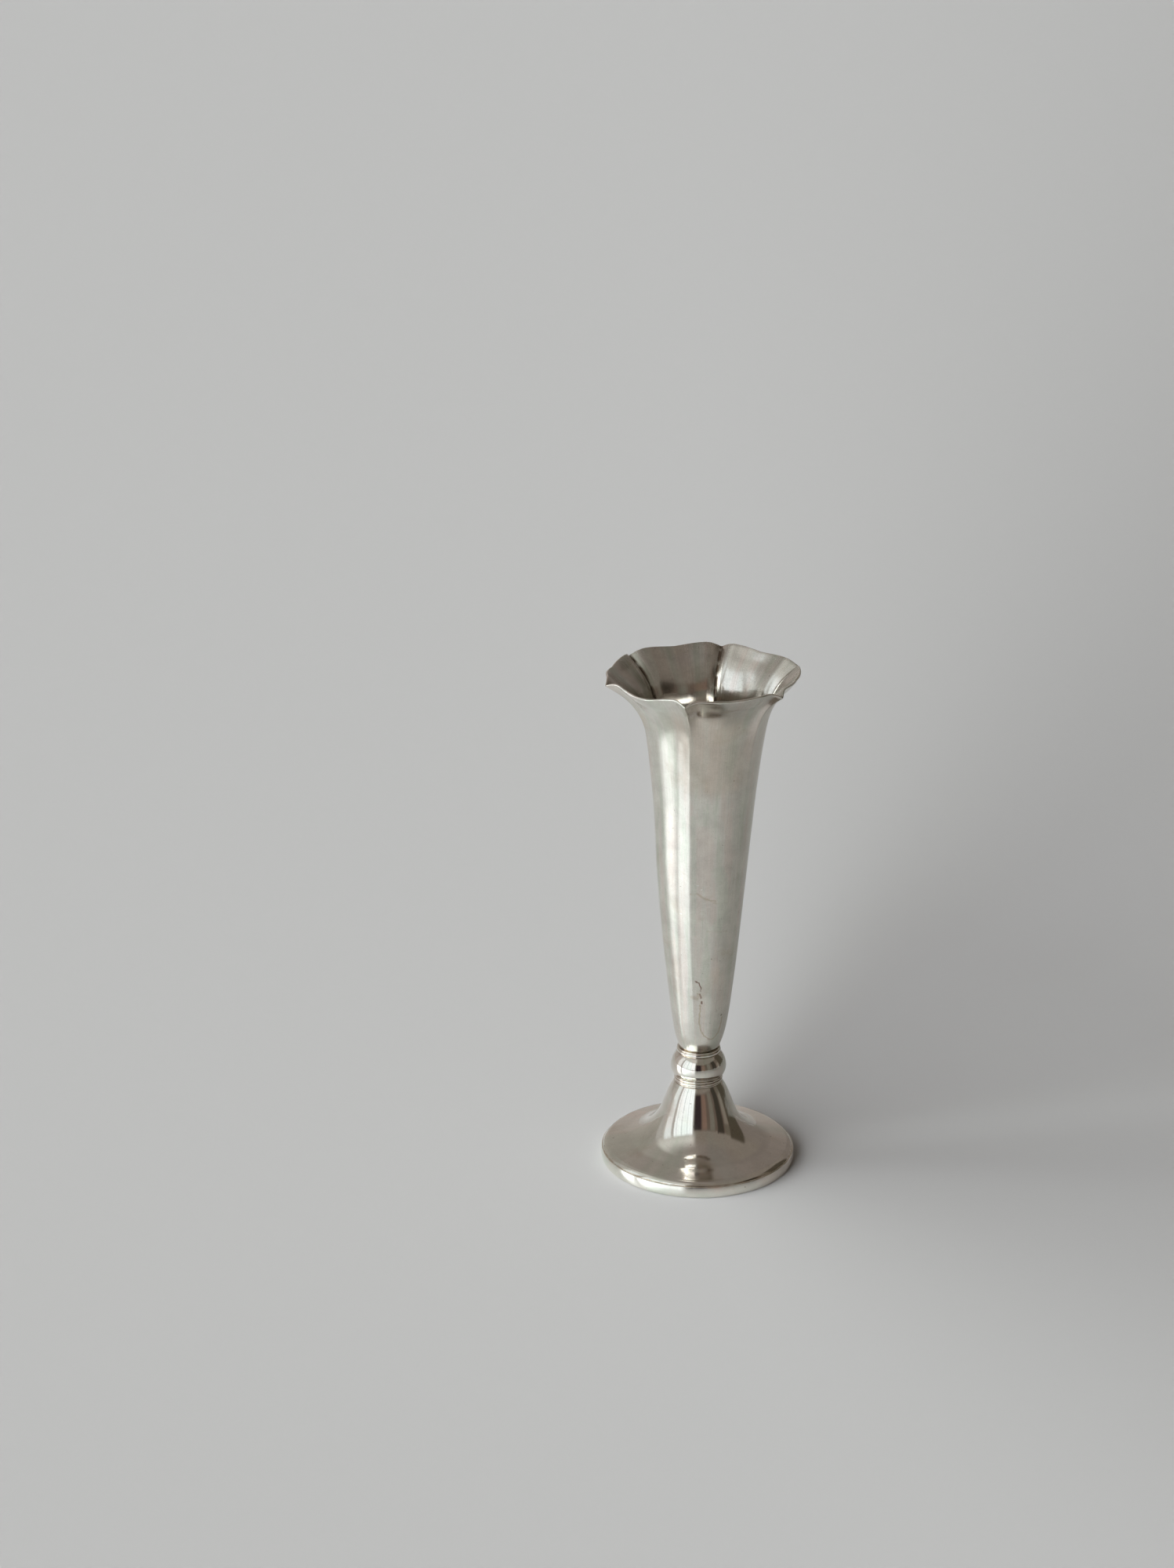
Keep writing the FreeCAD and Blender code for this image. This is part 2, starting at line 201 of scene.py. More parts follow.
surroundings = {
    "wallLow": (0.50, 0.46, 0.43),
    "wallHigh": (0.36, 0.325, 0.30),
    "wallRise": (0, 50),              # elevations between which the low tone turns into the high one
    "wallShade": (0.23, 0.21, 0.19),
    "wallShadeAt": (100, 168, 12),    # azimuth from and to, and softness
    "ceiling": (0.24, 0.22, 0.20),
    "ceilingLeft": (0.36, 0.34, 0.315),
    "ceilingTurn": (60, -50),         # azimuths between which the ceiling turns into its left tone
    "ceilingRise": (40, 62),
    "backdrop": (0.50, 0.49, 0.475),
    "softness": 1.6,
    "mirroredWindow": 0.155,          # how bright a window shows in the silver itself, as a share
    "mirroredDepth": (2.6, 2.4),      # ray depths between which a ray counts as straight from the silver
    "room": [
        (-155, -15, 30, 60, (0.42, 0.40, 0.37), 5),
        (-15, 150, 29, 60, (0.255, 0.235, 0.205), 5),
        (-115, -12, 42, 60, (0.92, 0.93, 0.90), 8),
        (-20, 108, -5, 33, (0.155, 0.125, 0.102)),
        (-118, -14, -5, 38, (0.55, 0.54, 0.52)),
        (-103, -97, -5, 40, (0.62, 0.61, 0.57)),
        (-12, 9, -5, 32, (0.040, 0.028, 0.032)),
        (12, 26, -5, 31, (0.25, 0.175, 0.14)),
        (36, 50, -5, 32, (0.21, 0.20, 0.17)),
        (58, 77, -5, 34, (0.055, 0.048, 0.038)),
        (81, 94, -5, 16, (0.25, 0.23, 0.195)),
        (81, 94, 16, 34, (0.16, 0.145, 0.115)),
        (94, 126, -5, 38, (0.085, 0.075, 0.055)),
    ],
    "windows": [
        (-98, -79.5, 3, 42, (7.0, 7.5, 7.7)),
        (-72, -58, 3, 42, (9.1, 9.8, 10.2)),
        (-58, -40, 3, 42, (9.6, 10.3, 10.8)),
        (-40, -17, 3, 41, (9.8, 10.6, 11.2)),
    ],
    "windowFade": (-80, -28, 0.30),   # from and to azimuth, and the share of light left there
    "windowTop": (53, 28, 0.05),      # from and to elevation, and the share of light left above
    "windowRise": 12,                 # how much taller the floor shows them, as a long smear
    "bars": [
        (-66, -64, 3, 43, (5.2, 5.5, 5.8)),
        (-50.5, -48.5, 3, 43, (4.2, 4.5, 4.8)),
        (-34, -32, 3, 43, (5.8, 6.1, 6.4)),
        (-25, -23.8, 3, 43, (6.5, 6.8, 7.1)),
    ],
}


def azimuthOf(graph, place):
    turn = math.radians(camera["turn"])
    side = graph.vector("DOT_PRODUCT", place, (math.cos(turn), math.sin(turn), 0), output="Value")
    front = graph.vector("DOT_PRODUCT", place, (math.sin(turn), -math.cos(turn), 0), output="Value")
    return side.math("ARCTAN2", side, front) * math.degrees(1)


def makeSurroundings():
    world = bpy.data.worlds.new("room")
    bpy.context.scene.world = world
    graph = Graph(world)
    sight = graph.add("ShaderNodeTexCoord", {}, (), "Generated")
    azimuth = azimuthOf(graph, sight)
    up = graph.split(sight)[2]
    elevation = up.math("ARCSINE", up) * math.degrees(1)
    rise = graph.step(elevation, *surroundings["wallRise"])
    wall = graph.blend(rise, surroundings["wallLow"], surroundings["wallHigh"])
    wall = graph.blend(graph.band(azimuth, *surroundings["wallShadeAt"]), wall, surroundings["wallShade"])
    turned = graph.step(azimuth, *surroundings["ceilingTurn"])
    ceiling = graph.blend(turned, surroundings["ceiling"], surroundings["ceilingLeft"])
    room = graph.blend(graph.step(elevation, *surroundings["ceilingRise"]), wall, ceiling)
    bounces = graph.add("ShaderNodeLightPath", {}, (), "Ray Depth")
    glossy = graph.add("ShaderNodeLightPath", {}, (), "Is Glossy Ray")
    mirrored = graph.step(bounces, *surroundings["mirroredDepth"])
    first, last, kept = surroundings["windowFade"]
    faded = graph.step(azimuth, first, last) * (1 - kept)
    first, last, kept = surroundings["windowTop"]
    faded = 1 - (1 - faded) * (kept + (1 - kept) * graph.step(elevation, first, last))
    dimmed = glossy * (mirrored * (1 - surroundings["mirroredWindow"]) + (1 - mirrored) * faded)
    taller = glossy * (1 - mirrored) * surroundings["windowRise"]
    for patches, dim in (("room", None), ("windows", dimmed), ("bars", dimmed)):
        for left, right, low, high, shade, *own in surroundings[patches]:
            soft = own[0] if own else surroundings["softness"]
            share = graph.band(azimuth, left, right, soft)
            if dim:
                high = taller + high
                shade = graph.blend(dim, shade, (0, 0, 0))
            share = share * graph.band(elevation, low, high, 2 * soft)
            room = graph.blend(share, room, shade)
    seen = graph.add("ShaderNodeLightPath", {}, (), "Is Camera Ray")
    shown = graph.blend(seen, room, surroundings["backdrop"])
    light = graph.add("ShaderNodeBackground", {}, {"Color": shown, "Strength": 1.0})
    graph.add("ShaderNodeOutputWorld", {}, {"Surface": light})
    world.cycles.sampling_method = "NONE"   # light is met only by rays whose own path is known
    print("surroundings made")


# The floor is one plain table top. Its first tones and gloss are what the silver mirrors, and the
# seen ones are what the camera meets. Both are darkened over azimuths to the vase's right and behind
# it: painted shade for the vase's shadow and the light falling off there.

floor = {
    "halfWidth": 30000, "colour": (0.62, 0.615, 0.60), "paintedShadeColour": (0.35, 0.34, 0.32),
    "roughness": 0.21, "ior": 1.9,
    "seenColour": (0.478, 0.463, 0.452), "seenPaintedShade": (0.36, 0.347, 0.338),
    "paintedShadeFrom": (5, 85), "paintedShadeTo": (180, 150),   # azimuths over which the painted shade grows and ends
}


def makeFloor():
    half = floor["halfWidth"] * mm
    mesh = bpy.data.meshes.new("floor")
    corners = [(-half, -half, 0), (half, -half, 0), (half, half, 0), (-half, half, 0)]
    mesh.from_pydata(corners, [], [(0, 1, 2, 3)])
    table = bpy.data.objects.new("floor", mesh)
    bpy.context.scene.collection.objects.link(table)
    fixed = {"Base Color": colour(floor["colour"]), "Roughness": floor["roughness"], "IOR": floor["ior"]}
    material, graph = newMaterial("paleFloor", fixed)
    azimuth = azimuthOf(graph, graph.place())
    # painted shade: both floor tones turn darker to the vase's right and behind it
    paintedShadeShare = graph.step(azimuth, *floor["paintedShadeFrom"]) * graph.step(azimuth, *floor["paintedShadeTo"])
    feed(graph, baseColour=graph.blend(paintedShadeShare, floor["colour"], floor["paintedShadeColour"]))
    tone = graph.blend(paintedShadeShare, floor["seenColour"], floor["seenPaintedShade"])
    matt = {"Base Color": tone, "Roughness": 1.0, "Specular IOR Level": 0.0}
    plain = graph.add("ShaderNodeBsdfPrincipled", {}, matt)
    seen = graph.add("ShaderNodeLightPath", {}, (), "Is Camera Ray")
    glossy = Wire(graph, graph.shader.outputs[0])
    shader = graph.add("ShaderNodeMixShader", {}, {0: seen, 1: glossy, 2: plain})
    graph.tree.links.new(shader.socket, graph.output.inputs["Surface"])
    mesh.materials.append(material)


makeCamera()
makeSurroundings()
makeFloor()


# Silver. Every silver finish starts from one recipe: clean metal, a warm bloom of tarnish where
# the cloths don't reach, cloudy smudges, fine scratches and pits. The tarnish tint also paints shade:
# dark lines along small dents and a darker patch over the trumpet's upper right.

silverTints = {
    "clean": (0.655, 0.628, 0.574),
    "tarnishAndPaintedShade": (0.50, 0.425, 0.335),
    "dark": (0.16, 0.12, 0.085),
    "rose": (0.665, 0.603, 0.55),
    "green": (0.60, 0.605, 0.535),
    "rust": (0.20, 0.105, 0.075),
    "wearAndGlint": (0.95, 0.94, 0.90),
}


# What all silver finishes share. A pair is the values of a noise between which something sets in.

silverRecipe = {
    "bloomFrom": (0.52, 0.78),
    "grooveScale": 0.5, "grooveFrom": (0.25, 0.65),
    "tintAlong": 0.035, "roseFrom": (0.50, 0.62), "greenFrom": (0.49, 0.37),
    "speckFrom": (0.76, 0.80), "speckStrength": 0.6,
    "strokeTube": 11.0,      # radius of the tube that marks are drawn on, whatever the vase's own radius
    "strokeEdge": 0.35,      # share of a mark's half width that is at full strength
    "strayScale": 0.8, "stray": 0.9,   # how marks stray from their lines
    "rubTurn": (0.0, 0.5, 0.35), "rubScale": (3.4, 3.4, 0.35), "rubShare": 0.55,
    "wipeTurn": (0.22, -0.3, 0.0), "wipeScale": (0.45, 0.45, 4.2), "wipeShare": 0.45,
    "grainScale": 2.4,
    "dingFrom": (0.66, 0.74), "dingStrength": 0.5, "dingDepth": 0.02, "scratchDepth": 0.01,
    "creaseScale": 0.35, "creaseFrom": (0.25, 0.55), "creaseEdge": 0.3,
}


def onTube(graph, radius, upScale):
    # places drawn onto a tube of this radius; a small scale upwards makes noise run in streaks
    across, deep, up = graph.split(graph.place())
    flat = graph.vector("NORMALIZE", graph.join(across, deep, 0.0))
    spread = graph.vector("MULTIPLY", flat, (radius, radius, 0))
    return graph.vector("ADD", spread, graph.join(0.0, 0.0, up * upScale))


def strokeMask(graph, place, stroke, width):
    # 1 on a line through the stroke's (degrees round, height) points, fading out at its width
    tube, edge = silverRecipe["strokeTube"], silverRecipe["strokeEdge"]
    points = []
    for degrees, height in stroke:
        turn = math.radians(degrees)
        points.append((tube * math.sin(turn), -tube * math.cos(turn), height))
    nearest = None
    for start, end in zip(points, points[1:] or points):
        along = Vector(end) - Vector(start)
        away = graph.vector("SUBTRACT", place, start)
        if along.length:
            perLength = tuple(along / along.length_squared)
            share = graph.vector("DOT_PRODUCT", away, perLength, output="Value").held()
            away = graph.vector("SUBTRACT", away, graph.scaled(tuple(along), share))
        reach = graph.vector("LENGTH", away, output="Value")
        nearest = reach.math("MINIMUM", reach, nearest) if nearest else reach
    return graph.step(nearest, width, width * edge)


def creaseShadeMask(graph, width, lowest, highest, strength):
    # 1 along the trumpet's creases, where painted shade darkens them, growing from the lowest height to the
    # highest
    across, deep, up = graph.split(graph.place())
    turn = across.math("ARCTAN2", across, 0 - deep)
    away = turn.math("PINGPONG", turn, halfPanel)
    reach = away * graph.vector("LENGTH", graph.join(across, deep, 0.0), output="Value")
    gaps = graph.noise(graph.place(), silverRecipe["creaseScale"], detail=3.0)
    broken = graph.step(gaps, *silverRecipe["creaseFrom"])
    line = graph.step(reach, width, width * silverRecipe["creaseEdge"])
    return line * graph.step(up, lowest, highest) * broken * strength


def silver(name, look):
    material, graph = newMaterial(name, {"Metallic": 1.0, "Roughness": look["roughness"]})
    recipe = silverRecipe
    place = graph.place()
    up = graph.split(place)[2]
    clouds = graph.noise(place, look["cloudScale"], detail=4.0, roughness=0.6, distortion=0.4)
    tarnishAndPaintedShade = graph.step(clouds, *recipe["bloomFrom"]) * look["tarnishAndPaintedShade"]
    for height, reach, strength in look["grooves"]:
        near = graph.step(up.math("ABSOLUTE", up - height), reach, 0.0)
        patchy = graph.step(graph.noise(place, recipe["grooveScale"], detail=3.0), *recipe["grooveFrom"])
        tarnishAndPaintedShade = (tarnishAndPaintedShade + near * patchy * strength).held()
    tube = onTube(graph, look["tintFine"], recipe["tintAlong"])
    tint = graph.noise(tube, 1.0, detail=3.0, roughness=0.6)
    rosy, greenish = graph.step(tint, *recipe["roseFrom"]), graph.step(tint, *recipe["greenFrom"])
    shade = graph.blend(rosy, silverTints["clean"], silverTints["rose"])
    shade = graph.blend(greenish, shade, silverTints["green"])
    shade = graph.blend(tarnishAndPaintedShade, shade, silverTints["tarnishAndPaintedShade"])
    # painted shade: the creases are darkened towards the dark tint
    if look.get("paintedCreaseShade"):
        shade = graph.blend(creaseShadeMask(graph, *look["paintedCreaseShade"]), shade, silverTints["dark"])
    specks = graph.step(graph.noise(place, look["speckScale"], detail=1.0), *recipe["speckFrom"])
    shade = graph.blend(specks * recipe["speckStrength"], shade, silverTints["dark"])
    stray = graph.vector("SUBTRACT", graph.noise(place, recipe["strayScale"], output=1), (0.5, 0.5, 0.5))
    stray = graph.vector("MULTIPLY", stray, (recipe["stray"],) * 3)
    tube = graph.vector("ADD", onTube(graph, recipe["strokeTube"], 1.0), stray)
    for stain, width, strength, stroke in look["marks"]:
        shade = graph.blend(strokeMask(graph, tube, stroke, width) * strength, shade, silverTints[stain])
    tube = onTube(graph, look["streakFine"], look["streakAlong"])
    streaks = graph.noise(tube, 1.0, detail=4.0, roughness=0.65)
    rubbed = graph.turnedAndScaled(place, recipe["rubTurn"], recipe["rubScale"])
    wiped = graph.turnedAndScaled(place, recipe["wipeTurn"], recipe["wipeScale"])
    rubs = graph.noise(rubbed, 1.0, detail=5.0, roughness=0.7, distortion=0.6) * recipe["rubShare"]
    wipes = graph.noise(wiped, 1.0, detail=5.0, roughness=0.7, distortion=0.9)
    rubs = rubs + wipes * recipe["wipeShare"]
    patches = graph.noise(place, look["patchScale"], detail=5.0, roughness=0.6, distortion=0.3)
    grain = graph.noise(place, recipe["grainScale"], roughness=0.8)
    tone = look.get("shade", 1.0) + (streaks - 0.5) * look["streakTone"] + (rubs - 0.5) * look["rubTone"]
    tone = tone + (patches - 0.5) * look["patchTone"] + (grain - 0.5) * look["grainTone"]
    rough = look["roughness"] + (clouds - 0.5) * look["smudge"] + (streaks - 0.5) * look["streakRough"]
    rough = rough + (rubs - 0.5) * look["streakRough"]
    if look.get("satin"):
        low, high, more = look["satin"]
        rough = rough + graph.step(up, low, high) * more
    dings = graph.step(graph.noise(place, look["dingScale"]), *recipe["dingFrom"])
    normal = graph.bump(dings, recipe["dingStrength"], recipe["dingDepth"])
    normal = graph.bump(streaks, look["streakDepth"], recipe["scratchDepth"], normal)
    normal = graph.bump(rubs, look["rubDepth"], recipe["scratchDepth"], normal)
    feed(graph, baseColour=graph.scaled(shade, tone), roughness=rough, normal=normal)
    return material


# The finishes. A groove is (height, reach, strength) of the dirt that it holds, a mark is (tint, half
# width, strength, (degrees round, height) points), painted crease shade is (half width, heights from
# and to, strength), and satin is (heights from and to, how much rougher the wall gets between them).

trumpetLook = {
    "roughness": 0.18, "cloudScale": 0.07, "tarnishAndPaintedShade": 0.5, "grooves": [(42.4, 0.9, 0.8)],
    # painted shade along the creases near the lip
    "paintedCreaseShade": (0.35, 165, 176, 0.5),
    "tintFine": 5.0, "streakFine": 42.0, "streakAlong": 0.03, "streakRough": 0.10, "streakDepth": 0.30,
    "streakTone": 0.24, "rubTone": 0.44, "rubDepth": 0.34, "patchScale": 0.16, "patchTone": 0.46,
    "smudge": 0.05, "speckScale": 1.1, "dingScale": 0.32, "grainTone": 0.24,
    "marks": [
        ("rust", 0.34, 0.85, [(3.6, 71.9), (8.4, 71.3), (12.3, 69.4), (12.0, 68.2)]),
        ("rust", 0.42, 0.75, [(11.2, 66.9), (12.8, 65.2)]),
        ("rust", 0.45, 0.85, [(14.1, 63.8), (14.3, 63.1)]),
        ("tarnishAndPaintedShade", 0.9, 0.45, [(-2.8, 65.6), (5.8, 64.9), (9.0, 66.5)]),
        ("tarnishAndPaintedShade", 0.42, 0.8, [
            (11.0, 62.5), (11.6, 60.1), (10.6, 55.4), (13.5, 52.6), (20.5, 50.2), (31.0, 48.7),
            (41.1, 48.3), (50.0, 49.0), (56.0, 50.7), (59.3, 53.2), (60.0, 56.3),
        ]),
        ("dark", 0.55, 0.8, [(57.0, 57.4)]),
        # painted shade: these thin marks in the tarnish tint are the dark lines along small dents
        ("tarnishAndPaintedShade", 0.45, 0.6, [(-2.9, 105.4), (4.7, 105.8), (16.9, 103.5), (29.3, 102.6)]),
        ("tarnishAndPaintedShade", 0.4, 0.35, [(27.3, 101.8), (45.3, 101.3)]),
        ("tarnishAndPaintedShade", 0.4, 0.4, [(5.0, 126.0), (12.6, 125.0), (21.0, 123.7)]),
        ("tarnishAndPaintedShade", 0.35, 0.3, [(6.3, 127.2), (18.8, 126.9)]),
        ("tarnishAndPaintedShade", 0.45, 0.35, [(20.9, 91.2), (48.4, 90.4)]),
        ("tarnishAndPaintedShade", 0.35, 0.22, [(-15.3, 113.2), (2.1, 111.2)]),
        # painted glints: bright dots on the small dents
        ("wearAndGlint", 0.3, 0.9, [(5.7, 108.7)]),
        ("wearAndGlint", 0.26, 0.9, [(10.7, 107.2)]),
        ("wearAndGlint", 0.26, 0.9, [(-17.4, 97.4)]),
        # painted shade: a broad patch of the tarnish tint darkens the trumpet's upper right
        ("tarnishAndPaintedShade", 9.0, 0.42, [(8.0, 168.0), (24.0, 148.0)]),
        ("rose", 2.6, 0.8, [(10.7, 129.1), (18.5, 120.2), (9.4, 110.2)]),
        ("green", 2.2, 0.8, [(31.8, 114.0), (39.5, 107.8), (42.2, 95.2), (31.1, 92.3)]),
        ("green", 0.9, 0.7, [(1.0, 134.0), (1.5, 108.0), (1.0, 90.0)]),
    ],
}
# throatLook's shade 0.86 darkens the whole inside of the trumpet: painted shade; its groove entry makes the
# inside darker towards the bottom
throatLook = dict(
    trumpetLook, roughness=0.11, smudge=0.10, grooves=[(52.0, 90.0, 0.8)], marks=[],
    shade=0.86, satin=(163, 178, 0.15), paintedCreaseShade=(0.85, 120, 166, 1.0),
)
stemLook = {
    "roughness": 0.09, "cloudScale": 0.12, "tarnishAndPaintedShade": 0.25,
    "grooves": [
        (30.1, 0.25, 0.6), (31.1, 0.3, 0.8), (32.05, 0.45, 0.9), (40.65, 0.4, 0.8), (41.95, 0.3, 0.5),
    ],
    "tintFine": 2.0, "streakFine": 8.0, "streakAlong": 4.0, "streakRough": 0.05, "streakDepth": 0.05,
    "streakTone": 0.12, "rubTone": 0.12, "rubDepth": 0.10, "patchScale": 0.4, "patchTone": 0.2,
    "smudge": 0.05, "speckScale": 1.3, "dingScale": 0.5, "grainTone": 0.10,
    # specks of old polish under the knop
    "marks": [
        ("dark", 0.35, 0.9, [(35, 31.9), (48, 31.7)]), ("dark", 0.3, 0.9, [(52, 31.2), (60, 31.4)]),
        ("dark", 0.25, 0.8, [(28, 31.1), (33, 31.2)]), ("dark", 0.3, 0.7, [(66, 31.9), (75, 31.6)]),
    ],
}
footLook = {
    "roughness": 0.10, "cloudScale": 0.09, "tarnishAndPaintedShade": 0.35, "grooves": [(29.5, 0.4, 0.8), (4.4, 0.4, 0.9)],
    "tintFine": 1.5, "streakFine": 6.0, "streakAlong": 0.2, "streakRough": 0.05, "streakDepth": 0.06,
    "streakTone": 0.12, "rubTone": 0.20, "rubDepth": 0.14, "patchScale": 0.22, "patchTone": 0.2,
    "smudge": 0.10, "speckScale": 0.9, "dingScale": 0.3, "grainTone": 0.16,
    "marks": [("dark", 0.16, 0.95, [(-72.5, 4.95)]), ("dark", 0.1, 0.8, [(-43.2, 4.3)])],
}
# bandLook's shade 1.08 makes the band lighter than the foot: painted light for the bright floor it mirrors
bandLook = dict(footLook, shade=1.08, roughness=0.14, marks=[])


# Meshes. An outline is walked round with its metal on the left, and each corner is
# (across, up) or (across, up, radius, side) of an arc that reaches it, side 1 bulging left.

turning = {
    "columns": 216, "cornerSteps": 5, "arcPoints": 161,
    "sharpFrom": 6,         # degrees that an outline turns at a corner before the corner is rounded
    "cutShare": 0.3,        # the most of a short stretch that a rounded corner takes
    "support": 0.05,        # how near a rounded corner the next point stands
    "sameSpot": 1e-6,
}


def heights(node):
    low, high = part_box(node)
    return low.z / mm, high.z / mm


def stretch(start, end, bend=None):
    shares = np.linspace(0, 1, turning["arcPoints"])
    if bend is None:
        return start + (end - start) * shares
    radius, side = bend
    chord = end - start
    left = 1j * chord / abs(chord)
    centre = (start + end) / 2 - left * side * math.sqrt(max(radius ** 2 - (abs(chord) / 2) ** 2, 0))
    sweep = cmath.phase((end - centre) / (start - centre))
    return centre + (start - centre) * np.exp(1j * sweep * shares)


def cutEnds(line, first, last, spacing):
    # the stretch without its ends, evenly divided, with a support point near each cut
    run = np.concatenate([[0], np.cumsum(abs(np.diff(line)))])
    start, end = first, run[-1] - last
    count = max(1, int(round((end - start) / spacing)))
    support = min(turning["support"], (end - start) / 4)
    places = np.linspace(start, end, count + 1)
    places = np.unique(np.concatenate([places, [start + support, end - support]]))
    return list(np.interp(places, run, line.real) + 1j * np.interp(places, run, line.imag))


def outline(corners, spacing, cornerCut):
    count = len(corners)
    steps = turning["cornerSteps"]
    ends = [complex(corner[0], corner[1]) for corner in corners]
    lines = [stretch(ends[k - 1], ends[k], corners[k][2:] or None) for k in range(count)]
    followers = lines[1:] + lines[:1]
    cuts = []
    for line, follower in zip(lines, followers):
        bend = cmath.phase((follower[1] - follower[0]) / (line[-1] - line[-2]))
        shortest = min(abs(np.diff(line)).sum(), abs(np.diff(follower)).sum())
        sharp = abs(bend) > math.radians(turning["sharpFrom"])
        cuts.append(min(cornerCut, turning["cutShare"] * shortest) if sharp else 0.0)
    points = []
    for k in range(count):
        kept = cutEnds(lines[k], cuts[k - 1], cuts[k], spacing)
        if points and abs(points[-1] - kept[0]) < turning["sameSpot"]:
            kept = kept[1:]
        points += kept
        if cuts[k]:
            after = cutEnds(followers[k], cuts[k], 0.0, spacing)[0]
            for share in (step / steps for step in range(1, steps)):
                left = 1 - share
                points.append(left ** 2 * kept[-1] + 2 * share * left * ends[k] + share ** 2 * after)
    if abs(points[0] - points[-1]) < turning["sameSpot"]:
        points.pop()
    return np.array(points)


def skinObject(name, rows, materials, rowMaterial=None):
    # rows x columns of points, closed both ways, as one smooth piece with its normals outward
    count, around = rows.shape[:2]
    row = np.arange(count)[:, None]
    column = np.arange(around)[None, :]
    nextRow, nextColumn = (row + 1) % count, (column + 1) % around
    faces = np.stack([row * around + column, row * around + nextColumn,
                      nextRow * around + nextColumn, nextRow * around + column], axis=-1).reshape(-1, 4)
    points = rows.reshape(-1, 3)
    a, b, c, d = (points[faces[:, k]] for k in range(4))
    volume = np.einsum("ij,ij->", a, np.cross(b, c) + np.cross(c, d))
    if volume < 0:
        faces = faces[:, ::-1]
    mesh = bpy.data.meshes.new(name)
    mesh.from_pydata((points * mm).tolist(), [], faces.tolist())
    for material in materials:
        mesh.materials.append(material)
    if rowMaterial is not None:
        mesh.polygons.foreach_set("material_index", np.repeat(rowMaterial, around))
    mesh.polygons.foreach_set("use_smooth", np.ones(len(faces), bool))
    mesh.update()
    piece = bpy.data.objects.new(name, mesh)
    bpy.context.scene.collection.objects.link(piece)
    return piece


def turned(name, corners, material, spacing, cornerCut):
    line = outline(corners, spacing, cornerCut)
    turns = np.linspace(0, 2 * math.pi, turning["columns"], endpoint=False)
    across = line.real[:, None]
    up = line.imag[:, None] + 0 * turns
    grid = np.stack([across * np.sin(turns), -across * np.cos(turns), up], axis=-1)
    return skinObject(name, grid, [material])


def arcOver(half, swell):
    # radius of the arc that swells out this much in the middle of a chord of twice the half
    return (half ** 2 + swell ** 2) / (2 * swell)


def dress(piece, node):
    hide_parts(node)
    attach(piece, "root")


trumpet = {
    "length": 135.2, "narrow": 7.5, "mouth": 32.5, "sheet": 0.8, "panels": 6,
    "foldReach": 0.3, "foldHeight": 1.8, "lipRise": 2.1, "lobeDip": 0.6,
    # hand-bent spots of the lip: (degrees round, half width, how far outwards, how far upwards)
    "lipBends": [
        (102, 35, 1.1, 0), (282, 35, 1.5, 0), (325, 28, 0, -1.6),
        (0, 12, 0, 0.7), (60, 12, 0, 0.7), (300, 12, 0, 0.7),
    ],
    "bendsFrom": 0.85,                     # share of the length above which the lip is bent
    "creaseRound": 0.95, "lipCreaseRound": 0.10, "creaseSoft": 0.02,
    "creaseTightens": (0.15, 0.40),        # shares of the lip's wave between which its creases tighten
    "rows": 150, "denseRows": 900, "halfPanelColumns": 19, "columnPower": 1.7,
    "rimRows": 6, "rimOut": 0.8,           # how far the rim swells, as a share of a half circle
    "waveSize": 13.0, "waveDepth": 0.05, "waveShift": (51.9, 15.3, 29.1), "waveFade": (8, 6),
    # shares of the length, of narrow to mouth radius, of flat to round panels, of the lip's waves
    "stations": [
        (0.000, 0.000, 1.00, 0.00), (0.026, 0.051, 1.00, 0.00), (0.058, 0.091, 0.85, 0.02),
        (0.120, 0.142, 0.70, 0.05), (0.220, 0.211, 0.60, 0.07), (0.350, 0.286, 0.58, 0.09),
        (0.500, 0.360, 0.56, 0.11), (0.650, 0.421, 0.56, 0.14), (0.770, 0.486, 0.58, 0.19),
        (0.860, 0.545, 0.61, 0.27), (0.915, 0.610, 0.67, 0.40), (0.945, 0.690, 0.80, 0.55),
        (0.972, 0.807, 0.96, 0.76), (1.000, 1.000, 1.15, 1.00),
    ],
    # (height, degrees that the crease nearest the camera stands to the picture's left there)
    "twist": [(42.4, 0), (60, 1), (87, 4.5), (134, 3.5), (155, 2.4), (170, 1), (181, 0)],
    "twistReach": 45,                      # how far round from that crease the wall goes with it
    # (height, how far the side to the picture's right stands out there, and the other side in)
    "lean": [
        (42.4, 0.1), (60, 0.2), (110, 0.2), (131, 0.6), (145, 0.75), (157, 0.95), (166, 1.0),
        (176, 0.1), (181, 0.0),
    ],
}
halfPanel = math.pi / trumpet["panels"]


def waver(points):
    # small seeded hollows and rises, as hand work leaves, across a grid of points
    shift = Vector(trumpet["waveShift"])
    spots = points.reshape(-1, 3)
    away = [noise.noise(Vector(spot) / trumpet["waveSize"] + shift) for spot in spots]
    return np.array(away).reshape(points.shape[:2]) * trumpet["waveDepth"]


def naturalSpline(places, values, at):
    # a smooth curve through the values, straight at both ends
    count = len(places)
    gaps = np.diff(places)
    system = np.eye(count)
    target = np.zeros(count)
    for k in range(1, count - 1):
        system[k, k - 1:k + 2] = gaps[k - 1], 2 * (gaps[k - 1] + gaps[k]), gaps[k]
        target[k] = 6 * ((values[k + 1] - values[k]) / gaps[k] - (values[k] - values[k - 1]) / gaps[k - 1])
    bend = np.linalg.solve(system, target)
    k = np.clip(np.searchsorted(places, at) - 1, 0, count - 2)
    gap = gaps[k]
    after, before = (at - places[k]) / gap, (places[k + 1] - at) / gap
    return (before * values[k] + after * values[k + 1]
            + ((before ** 3 - before) * bend[k] + (after ** 3 - after) * bend[k + 1]) * gap ** 2 / 6)


def panelRadius(corner, roundShare, turn):
    flat = corner * math.cos(halfPanel)
    bulge = (corner - flat) * roundShare
    arc = arcOver(corner * math.sin(halfPanel), bulge)
    centre = flat + bulge - arc
    return centre * np.cos(turn) + np.sqrt(arc ** 2 - (centre * np.sin(turn)) ** 2)


